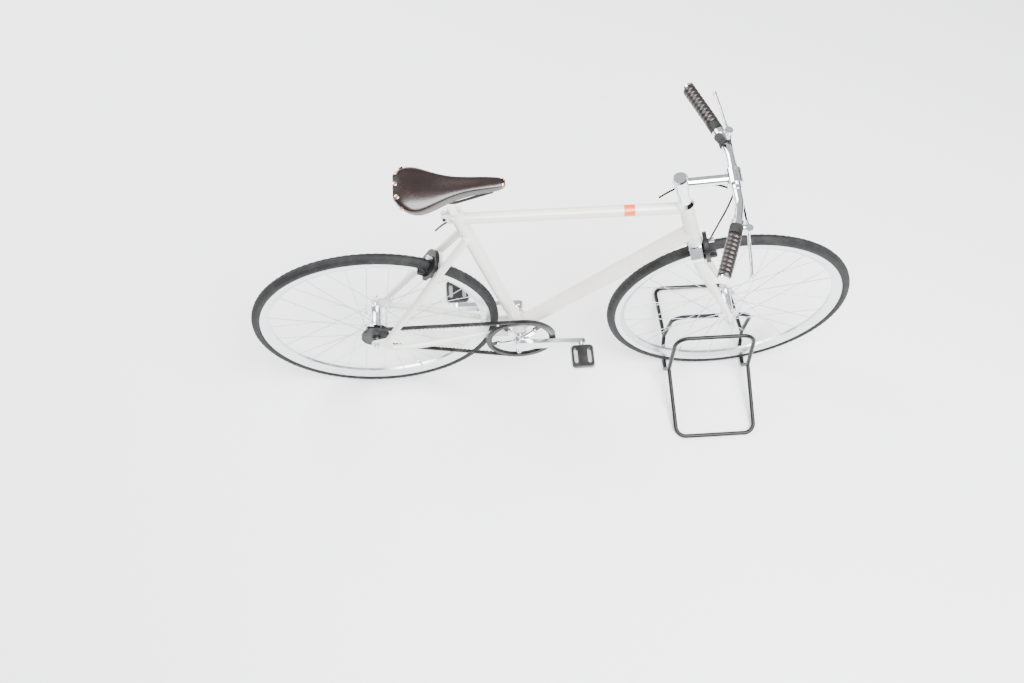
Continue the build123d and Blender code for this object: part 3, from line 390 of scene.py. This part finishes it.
def turn(shape, start, direction, profile, steps=32):
    """Spins a profile of (distance along, radius) pairs, in millimetres, round an axis."""
    axis = direction.normalized()
    side = axis.orthogonal().normalized()
    points = [
        shape.verts.new(start + axis * along / 1000 + side * radius / 1000) for along, radius in profile
    ]
    edges = [shape.edges.new(pair) for pair in zip(points, points[1:])]
    bmesh.ops.spin(
        shape,
        geom=points + edges,
        cent=start,
        axis=axis,
        angle=2 * pi,
        steps=steps,
        use_merge=True,
    )
    bmesh.ops.remove_doubles(shape, verts=shape.verts, dist=merge_distance)


def finish_piece(shape, name, materials, body, hides=()):
    """Makes the shape an object that rides on a body, with sharp edges where it turns hard."""
    bmesh.ops.recalc_face_normals(shape, faces=shape.faces)
    mesh = bpy.data.meshes.new(name)
    shape.to_mesh(mesh)
    shape.free()
    for material in materials:
        mesh.materials.append(material)
    mesh.polygons.foreach_set("use_smooth", [True] * len(mesh.polygons))
    mesh.set_sharp_from_angle(angle=sharp_turn)
    piece = bpy.data.objects.new(name, mesh)
    bpy.context.scene.collection.objects.link(piece)
    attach(piece, body)
    if hides:
        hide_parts(*hides)
    print("made", name, "with", len(mesh.polygons), "faces")
    return piece


# %% [markdown]
# ## Brake cables
# Each brake is worked by a steel wire in a plastic housing. A housing is springy, so it hangs in
# long even bends. A smooth curve through a few control points gives those bends, and a bevel gives
# the curve its thickness. The rear brake's housing crosses from the bar to the frame, so it has to
# bend when the bar turns; here that one is made a fixed mesh from its curve.

# %% Housing routes
housing_diameter = 0.005
left_lever_exit = Vector((0.40619, 0.11661, 0.92841))
right_lever_exit = Vector((0.40619, -0.11661, 0.92841))
rear_housing_start = Vector((-0.26914, 0.0, 0.81923))
front_route = [
    (0, 0, 0), (0, -34, 0), (10, -72, -24), (8, -102, -66), (-6, -120, -122), (-20, -127, -180),
    (-28, -129, -236),
]
steering_route = [
    (0, 0, 0), (0, 34, 0), (4, 76, -14), (-8, 110, -28), (-44, 134, -38), (-92, 146, -48),
    (-138, 148, -66), (-172, 140, -92),
]
rear_route = [(0, 0, 0), (-12, 2, -12), (-28, 6, -34), (-40, 12, -60)]


def draw_route(name, start, route, thickness):
    """A smooth curve through a start point and steps away from it, in millimetres."""
    line = bpy.data.curves.new(name, "CURVE")
    line.dimensions = "3D"
    line.bevel_depth = thickness / 2
    line.bevel_resolution = 5
    line.use_fill_caps = True
    spline = line.splines.new("NURBS")
    spline.points.add(len(route) - 1)
    for point, step in zip(spline.points, route):
        point.co = (*(start + spot(*step)), 1)
    spline.order_u = 3
    spline.use_endpoint_u = True
    spline.resolution_u = 10
    piece = bpy.data.objects.new(name, line)
    bpy.context.scene.collection.objects.link(piece)
    return piece


def read_line(piece):
    """The points that a curve passes through, read from a copy without thickness."""
    bare = piece.data.copy()
    bare.bevel_depth = 0
    holder = bpy.data.objects.new("bare_line", bare)
    bpy.context.scene.collection.objects.link(holder)
    bpy.context.view_layer.update()
    mesh = bpy.data.meshes.new_from_object(holder.evaluated_get(bpy.context.evaluated_depsgraph_get()))
    points = [vertex.co.copy() for vertex in mesh.vertices]
    bpy.data.objects.remove(holder)
    return points


def length_of(points):
    return sum((after - before).length for before, after in zip(points, points[1:]))


# %% Two free housings
for name, start, route, body in (
    ("front_brake_housing", left_lever_exit, front_route, "stand_and_fork"),
    ("rear_brake_housing", rear_housing_start, rear_route, "frame"),
):
    housing = draw_route(name, start, route, housing_diameter)
    housing.data.materials.append(housing_plastic)
    housing_length = length_of(read_line(housing))
    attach(housing, body)
    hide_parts(name.replace("housing", "cable"))
    print(name, "is", round(housing_length * 1000), "mm long")

# %% The housing from the bar to the frame
guide = draw_route("steering_guide", right_lever_exit, steering_route, housing_diameter)
steering_line = read_line(guide)
bpy.context.view_layer.update()
tube_mesh = bpy.data.meshes.new_from_object(guide.evaluated_get(bpy.context.evaluated_depsgraph_get()))
bpy.data.objects.remove(guide)
tube_mesh.materials.clear()
tube_mesh.materials.append(housing_plastic)
steering_housing = bpy.data.objects.new("steering_brake_housing", tube_mesh)
bpy.context.scene.collection.objects.link(steering_housing)
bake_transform(steering_housing)
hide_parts("steering_brake_cable")
print("steering housing is", round(length_of(steering_line) * 1000), "mm long")

# %% [markdown]
# ## The saddle's hide
# The top of this saddle is one hide, wetted and pressed over a form, then riveted to the frame at the
# tail and the nose. A lofted solid is too stiff for it. Here a plain grid is laid over ten stations
# from tail to nose, and a subdivision surface rounds it. The hide gets its thickness last, and its cut
# edge keeps the undyed tan of the leather.

# %% Saddle stations
saddle_tail = spot(-398.5, 0, 975.8)
saddle_half = 76.0
shoulder_fall = 0.38
skirt_tuck = 0.9
# Each station gives its place ahead of the tail, its share of the width, how far its crown lies
# below the tail's, and the depth of its skirt.
saddle_stations = [
    (0.0, 0.44, 1, 24),
    (14.0, 0.71, 0, 31),
    (32.0, 0.85, 1, 40),
    (58.0, 0.86, 7, 44),
    (88.0, 0.65, 12, 45),
    (134.0, 0.36, 12, 34),
    (185.0, 0.26, 8, 26),
    (238.0, 0.21, 8, 22),
    (252.0, 0.14, 11, 17),
    (257.0, 0.08, 14, 12),
]
skirt_share = 0.35


def hide_place(along, across):
    """A place on the hide: along runs from 0 at the tail to 9 at the nose, across from -1 to 1."""
    index = min(int(along), len(saddle_stations) - 2)
    share = along - index
    ahead, width, drop, skirt = (
        (1 - share) * a + share * b for a, b in zip(saddle_stations[index], saddle_stations[index + 1])
    )
    half = saddle_half * width
    over = min(abs(across) / (1 - skirt_share), 1.0)
    down = max((abs(across) - (1 - skirt_share)) / skirt_share, 0.0)
    shoulder = half * shoulder_fall
    reach = half * sin(over * pi / 2) * (1 - (1 - skirt_tuck) * down)
    fall = shoulder * (1 - cos(over * pi / 2)) + (skirt - shoulder) * down
    return saddle_tail + spot(ahead, reach * (1 if across > 0 else -1), -drop - fall)


# %% Saddle hide
hide_thickness = 0.005
stations_across = 14
shape = bmesh.new()
bmesh.ops.create_grid(shape, x_segments=len(saddle_stations) - 1, y_segments=stations_across, size=1.0)
for vertex in shape.verts:
    vertex.co = hide_place((vertex.co.x + 1) / 2 * (len(saddle_stations) - 1), vertex.co.y)
bmesh.ops.recalc_face_normals(shape, faces=shape.faces)
if sum(face.normal.z for face in shape.faces) < 0:
    bmesh.ops.reverse_faces(shape, faces=shape.faces)
hide_mesh = bpy.data.meshes.new("saddle_hide")
shape.to_mesh(hide_mesh)
shape.free()
hide_mesh.polygons.foreach_set("use_smooth", [True] * len(hide_mesh.polygons))
hide_mesh.materials.append(saddle_hide)
hide_mesh.materials.append(cut_edge)
hide = bpy.data.objects.new("saddle_hide", hide_mesh)
bpy.context.scene.collection.objects.link(hide)
rounding = hide.modifiers.new("rounding", "SUBSURF")
rounding.levels = 3
rounding.render_levels = 3
wall = hide.modifiers.new("wall", "SOLIDIFY")
wall.thickness = hide_thickness
wall.offset = -1
wall.material_offset_rim = 1
edge_round = hide.modifiers.new("edge_round", "BEVEL")
edge_round.width = 0.0012
edge_round.segments = 2
edge_round.limit_method = "ANGLE"
edge_round.angle_limit = radians(50)
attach(hide, "frame")
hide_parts("saddle_leather")
widest = max(width for ahead, width, drop, skirt in saddle_stations)
print("hide is", round(saddle_half * 2 * widest), "mm wide at its widest")

# %% [markdown]
# ## Rivets
# Hand-hammered copper rivets hold the hide. Each is a low dome with a hammered, slightly flat top.

# %% Rivets
rivet_radius = 6.0
rivet_profile = [
    (-0.5, 0.0), (-0.5, rivet_radius), (0.6, rivet_radius), (1.5, 4.6), (2.0, 2.4), (2.1, 0.0),
]
# Each rivet gives its place along and across the hide.
rivet_places = [
    (0.35, 0.0), (0.55, 0.36), (0.55, -0.36), (1.25, 0.62), (1.25, -0.62), (8.3, 0.5), (8.3, -0.5),
]
shape = bmesh.new()
for along, across in rivet_places:
    here = hide_place(along, across)
    ahead = hide_place(along + 0.05, across) - here
    aside = hide_place(along, across + 0.02) - here
    outward = ahead.cross(aside).normalized()
    turn(shape, here, outward, rivet_profile, 24)
finish_piece(shape, "saddle_rivets", [copper], "frame")

# %% [markdown]
# ## Ribbed grips
# The grips are bands of leather wrapped round the bar, each a little padded, so the grip swells and
# narrows again and again. Turning a wavy profile gives that.

# %% Grips
grip_height = 0.9374
grip_root_across = 0.162
grip_tip_across = 0.27
grip_root_inset = 0.0155
grip_tip_inset = 0.0141
grip_bore_radius = 11.6
grip_seam_radius = 14.9
rib_count = 10
# Each step of a rib gives its share of the rib's width and its radius.
rib_steps = [(0.0, grip_seam_radius), (0.14, 15.9), (0.35, 16.4), (0.65, 16.4), (0.86, 15.9)]
low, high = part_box("grips")
for side, side_name in ((1, "left"), (-1, "right")):
    tip = Vector((low.x + grip_tip_inset, side * grip_tip_across, grip_height))
    root = Vector((high.x - grip_root_inset, side * grip_root_across, grip_height))
    grip_length = (tip - root).length * 1000
    pitch = grip_length / rib_count
    profile = [(0, grip_bore_radius)]
    for rib in range(rib_count):
        profile.extend(((rib + share) * pitch, radius) for share, radius in rib_steps)
    profile.append((grip_length, grip_seam_radius))
    profile.append((grip_length, grip_bore_radius))
    shape = bmesh.new()
    turn(shape, root, (tip - root).normalized(), profile, 40)
    hidden = ["grips"] if side == 1 else []
    finish_piece(
        shape, "grip_" + side_name, [grip_hide], "stand_and_fork", hidden
    )

# %% [markdown]
# ## Tyres
# City tyres are smooth in the middle for speed, with two grooves that lead water away and a band of
# small cuts on each shoulder. The section is turned round the hub, and the cuts are faces pushed in.

# %% Tyres
tyre_outer = 339.0
tyre_section = 14.0
section_middle = tyre_outer - tyre_section
groove_depth = 0.9
groove_angle = 20
section_step = 10
cut_count = 220
cut_from = radians(32)
cut_to = radians(48)
cut_margin = 0.0006
cut_depth = -0.0008
section = []
for step in range(360 // section_step + 1):
    angle = step * section_step / 360 * 2 * pi
    from_crown = abs((step * section_step + 180) % 360 - 180)
    radius = tyre_section - (groove_depth if from_crown == groove_angle else 0.0)
    section.append((sin(angle) * radius, section_middle + cos(angle) * radius))
for wheel, centre in (("front", front_centre), ("rear", rear_centre)):
    hub = Vector((centre.x, 0, centre.z))
    shape = bmesh.new()
    turn(shape, hub, Vector((0, 1, 0)), section, cut_count)
    cuts = []
    for face in shape.faces:
        place = face.calc_center_median() - hub
        height = sqrt(place.x**2 + place.z**2) - section_middle / 1000
        lean = atan2(abs(place.y), height)
        number = round(atan2(place.z, place.x) / (2 * pi) * cut_count - 0.5)
        if cut_from < lean < cut_to and number % 2 == 0:
            cuts.append(face)
    bmesh.ops.inset_individual(shape, faces=cuts, thickness=cut_margin, depth=cut_depth)
    tread = wheel + "_tread"
    finish_piece(shape, tread, [tyre_rubber], wheel + "_wheel", [wheel + "_tyre"])

# %% [markdown]
# ## The orange band
# One painted band crosses the white top tube near the head. A band of paint has almost no thickness,
# so a thin sleeve just proud of the tube stands for it.

# %% Orange band
def make_orange_paint():
    graph = Graph("orange_lacquered_paint")
    cloud = graph.noise(40.0, 4.0)
    tint = graph.ramp(cloud, [(0.35, (0.70, 0.095, 0.004, 1)), (0.65, (0.76, 0.125, 0.006, 1))])
    return graph.surface(Base_Color=tint, Roughness=0.3, Coat_Weight=0.6, Coat_Roughness=0.08)


orange_paint = make_orange_paint()
band_middle = spot(160, 0, 823)
band_reach = 27.0 / 2
band_radius = 14.4
band_inner_radius = 13.0
band_profile = [
    (-band_reach, band_inner_radius), (-band_reach, band_radius),
    (band_reach, band_radius), (band_reach, band_inner_radius),
]
shape = bmesh.new()
turn(shape, band_middle, Vector((1, 0, 0)), band_profile, 64)
finish_piece(shape, "orange_band", [orange_paint], "frame")

# %% [markdown]
# ## Seat lug
# The seat tube is split at the back and pinched by one bolt. The lug is a short block behind
# the tube with a narrow slot, drawn as a cube that is shaped, bevelled and slotted.

# %% Seat lug and its bolt
seat_up = Vector((-cos(radians(73.6)), 0, sin(radians(73.6))))
seat_back = Vector((-seat_up.z, 0, seat_up.x))
lug_top = Vector((-0.261, 0, 0.852))
lug_turn = Matrix((seat_back, Vector((0, 1, 0)), seat_up)).transposed().to_4x4()
lug_size = Vector((0.020, 0.0088, 0.034))
lug_middle = Vector((0.026, 0.0054, -0.017))
lug_slope_from = -0.02
lug_slope = 0.014
lug_rounding = 0.002
for side, side_name in ((1, "left"), (-1, "right")):
    shape = bmesh.new()
    bmesh.ops.create_cube(shape, size=1.0)
    bmesh.ops.scale(shape, vec=lug_size, verts=shape.verts)
    place = Vector((lug_middle.x, side * lug_middle.y, lug_middle.z))
    bmesh.ops.translate(shape, vec=place, verts=shape.verts)
    for vertex in shape.verts:
        if vertex.co.z < lug_slope_from and vertex.co.x > lug_middle.x:
            vertex.co.x -= lug_slope
    bmesh.ops.bevel(
        shape,
        geom=shape.edges[:],
        offset=lug_rounding,
        offset_type="OFFSET",
        segments=3,
        profile=0.5,
        affect="EDGES",
        material=-1,
    )
    bmesh.ops.transform(shape, matrix=Matrix.Translation(lug_top) @ lug_turn, verts=shape.verts)
    finish_piece(shape, "seat_lug_" + side_name, [white_paint], "frame")

# %% Seat lug bolt
lug_bolt = lug_top + seat_back * 0.029 - seat_up * 0.008
lug_bolt_half = 0.0097
socket_bolt = [(0, 0), (0, 4.4), (3.0, 4.4), (3.6, 3.8), (3.6, 2.2), (1.6, 2.2), (1.6, 0)]
bolt_shank = [(0, 0), (0, 2.6), (19.4, 2.6), (19.4, 0)]
left = Vector((0, 1, 0))
shape = bmesh.new()
turn(shape, lug_bolt - left * lug_bolt_half, -left, socket_bolt, 24)
turn(shape, lug_bolt + left * lug_bolt_half, left, socket_bolt, 24)
turn(shape, lug_bolt - left * lug_bolt_half, left, bolt_shank, 16)
finish_piece(shape, "seat_lug_bolt", [powder_paint], "frame")

# %% [markdown]
# ## Bolts
# Every joint that a rider adjusts has a bolt with a hexagonal socket. They are small, but an eye that
# knows bicycles looks for them at the stem, the cranks and the belt ring.

# %% Crank and stem bolts
crank_cap = [(0, 0), (0, 9.5), (1.2, 9.5), (2.0, 8.4), (2.0, 4.6), (0.6, 4.6), (0.6, 0)]
bracket_place = spot(-93, 0, 282)
crank_cap_across = 0.0679
shape = bmesh.new()
turn(shape, bracket_place - left * crank_cap_across, -left, crank_cap, 32)
turn(shape, bracket_place + left * crank_cap_across, left, crank_cap, 32)
finish_piece(shape, "crank_bolts", [steel], "crankset")
plate_low, plate_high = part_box("stem_faceplate")
plate_face = Vector((plate_high.x, 0, (plate_low.z + plate_high.z) / 2))
plate_bolt = [(0, 0), (0, 3.2), (3.0, 3.2), (3.4, 2.8), (3.4, 1.7), (1.4, 1.7), (1.4, 0)]
shape = bmesh.new()
for across in (-0.0145, 0.0145):
    for up in (-0.0125, 0.0125):
        turn(shape, plate_face + Vector((-0.0042, across, up)), Vector((1, 0, 0)), plate_bolt, 20)
finish_piece(shape, "faceplate_bolts", [steel], "stand_and_fork")

# %% Belt ring bolts
ring_bolt_circle = 0.065
ring_bolt_across = 0.0529
spider_turn = -20.0
shape = bmesh.new()
for number in range(5):
    angle = radians(spider_turn + number * 72)
    bolt_place = bracket_place + Vector((cos(angle), 0, sin(angle))) * ring_bolt_circle
    turn(shape, bolt_place - left * ring_bolt_across, -left, socket_bolt, 20)
finish_piece(shape, "ring_bolts", [steel], "crankset")

# %% [markdown]
# ## Brake pivots
# Both brakes turn on one bolt through the middle of their arms. Its bright head, with a turned recess,
# stands just proud of the black arms.

# %% Brake pivots
pivot_profile = [(20, 0), (20, 6.5), (32.5, 6.5), (33.5, 5.6), (33.5, 3.4), (31.0, 3.4), (31.0, 0)]
steering_ahead = Vector((sin(radians(74)), 0, cos(radians(74))))
rear_pivot_line = Vector((-0.8455, 0, 0.534))
for name, mount, line, body in (
    ("front_brake_pivot", spot(362.4, 0, 666.1), steering_ahead, "stand_and_fork"),
    ("rear_brake_pivot", spot(-307.6, 0, 641.5), rear_pivot_line, "frame"),
):
    shape = bmesh.new()
    turn(shape, mount, line, pivot_profile, 24)
    finish_piece(shape, name, [alloy], body)

# %% [markdown]
# ## Valves
# Each inner tube is filled through a slim valve that stands up from the rim towards the hub, with a
# knurled cap. It is turned in one profile.

# %% Valves
valve_profile = [(0, 0), (0, 3.0), (3, 3.0), (3, 2.4), (24, 2.4), (24, 3.2), (34, 3.2), (36, 2.2), (36, 0)]
valve_root = 0.3045
for wheel, centre, valve_angle in (
    ("front", front_centre, radians(250)),
    ("rear", rear_centre, radians(292)),
):
    outward = Vector((cos(valve_angle), 0, sin(valve_angle)))
    shape = bmesh.new()
    turn(shape, Vector((centre.x, 0, centre.z)) + outward * valve_root, -outward, valve_profile, 20)
    finish_piece(shape, wheel + "_valve", [steel], wheel + "_wheel")

# %% [markdown]
# ## Floor and light
# The studio is white all over: a pale floor, a bright even sky, and one large lamp overhead that
# gives the soft shadows under the wheels. The lamp is wide, because a wide lamp makes soft edges.

# %% Floor and light
floor_mesh = bpy.data.meshes.new("studio_floor")
floor_shape = bmesh.new()
bmesh.ops.create_grid(floor_shape, x_segments=1, y_segments=1, size=14.0)
floor_shape.to_mesh(floor_mesh)
floor_shape.free()
floor = bpy.data.objects.new("studio_floor", floor_mesh)
bpy.context.scene.collection.objects.link(floor)
floor_graph = Graph("pale_floor")
floor_mesh.materials.append(
    floor_graph.surface(Base_Color=(0.94, 0.945, 0.945, 1), Roughness=0.7)
)

world = bpy.data.worlds.new("studio_sky")
world.use_nodes = True
sky = world.node_tree
sky_place = sky.nodes.new("ShaderNodeTexCoord")
sky_parts = sky.nodes.new("ShaderNodeSeparateXYZ")
sky.links.new(sky_place.outputs["Generated"], sky_parts.inputs[0])
sky_ramp = sky.nodes.new("ShaderNodeValToRGB")
sky_ramp.color_ramp.elements[0].position = 0.04
sky_ramp.color_ramp.elements[0].color = (0.03, 0.035, 0.045, 1)
sky_ramp.color_ramp.elements[1].position = 0.42
sky_ramp.color_ramp.elements[1].color = (0.95, 0.975, 1.0, 1)
sky.links.new(sky_parts.outputs["Z"], sky_ramp.inputs["Fac"])
sky_mix = sky.nodes.new("ShaderNodeMix")
sky_mix.data_type = "RGBA"
sky_mix.inputs[7].default_value = (0.95, 0.97, 1.0, 1)
sky_ray = sky.nodes.new("ShaderNodeLightPath")
sky.links.new(sky_ray.outputs["Is Camera Ray"], sky_mix.inputs[0])
sky.links.new(sky_ramp.outputs["Color"], sky_mix.inputs[6])
sky.links.new(sky_mix.outputs[2], sky.nodes["Background"].inputs["Color"])
sky.nodes["Background"].inputs["Strength"].default_value = 0.85
bpy.context.scene.world = world


def add_lamp(name, place, target, size, power):
    """A square area lamp that faces a target."""
    lamp_data = bpy.data.lights.new(name, "AREA")
    lamp_data.size = size
    lamp_data.energy = power
    lamp = bpy.data.objects.new(name, lamp_data)
    bpy.context.scene.collection.objects.link(lamp)
    aim = (Vector(target) - Vector(place)).to_track_quat("-Z", "Y")
    lamp.matrix_world = Matrix.Translation(place) @ aim.to_matrix().to_4x4()
    return lamp


add_lamp("key_lamp", (1.2, -1.6, 3.8), (0, 0, 0.3), 3.0, 700)
add_lamp("fill_lamp", (-2.6, 2.2, 3.0), (0, 0, 0.4), 2.8, 300)
print("floor, sky and two lamps are in place")
